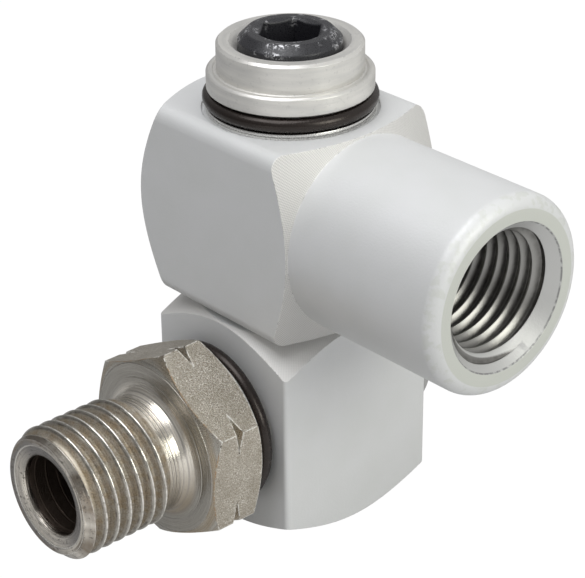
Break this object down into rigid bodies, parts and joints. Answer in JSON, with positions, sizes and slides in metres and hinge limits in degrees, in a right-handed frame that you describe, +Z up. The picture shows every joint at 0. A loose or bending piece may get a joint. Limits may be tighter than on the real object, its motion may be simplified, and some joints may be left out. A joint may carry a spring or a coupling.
{
  "type": "swivel air plug",
  "caption": "Two-pivot swivel joint for a compressed-air hose: two square aluminium bodies, a threaded female port and a hexagonal male nipple.",
  "frame": {"origin": "centre of the flat at the bottom of the lower body, on the axis of the upright pivot", "axes": "+Z up the upright pivot towards the plug screw, +X out of the female port, -Y out of the male nipple"},
  "size_m": [0.041, 0.0442, 0.0501],
  "materials": {
    "blasted_aluminium": "bead-blasted satin",
    "nickelled_steel": "turned and nickel-plated, slightly warm",
    "bright_steel": "bright",
    "blackened_steel": "black oxide with worn edges",
    "brown_black_rubber": "glossy, oiled",
    "black_rubber": "smooth",
    "pale_thrust_plastic": "smooth low-friction plastic"
  },
  "bodies": {
    "lower": {"lower_body": "blasted_aluminium", "pivot_stem": "blasted_aluminium", "stem_foot_seal": "black_rubber", "stem_lower_seal": "black_rubber", "stem_upper_seal": "black_rubber", "parting_washer": "pale_thrust_plastic", "top_dust_ring": "brown_black_rubber", "retaining_collar": "blasted_aluminium", "plug_screw": "blackened_steel", "plug_seal": "pale_thrust_plastic"},
    "upper": {"upper_body": "blasted_aluminium", "top_washer": "bright_steel"},
    "nipple": {"male_nipple": "nickelled_steel", "nipple_front_seal": "black_rubber", "nipple_rear_seal": "black_rubber", "hex_washer": "bright_steel", "hex_dust_ring": "brown_black_rubber", "rear_washer": "pale_thrust_plastic", "rear_collar": "nickelled_steel", "rear_screw": "blackened_steel"}
  },
  "joints": [
    {"name": "upper_swivel", "type": "hinge", "parent": "lower", "child": "upper", "pos_m": [0, 0, 0.03265], "axis": [0, 0, 1], "continuous": true},
    {"name": "nipple_swivel", "type": "hinge", "parent": "lower", "child": "nipple", "pos_m": [0, 0, 0.0118], "axis": [0, 1, 0], "continuous": true}
  ]
}
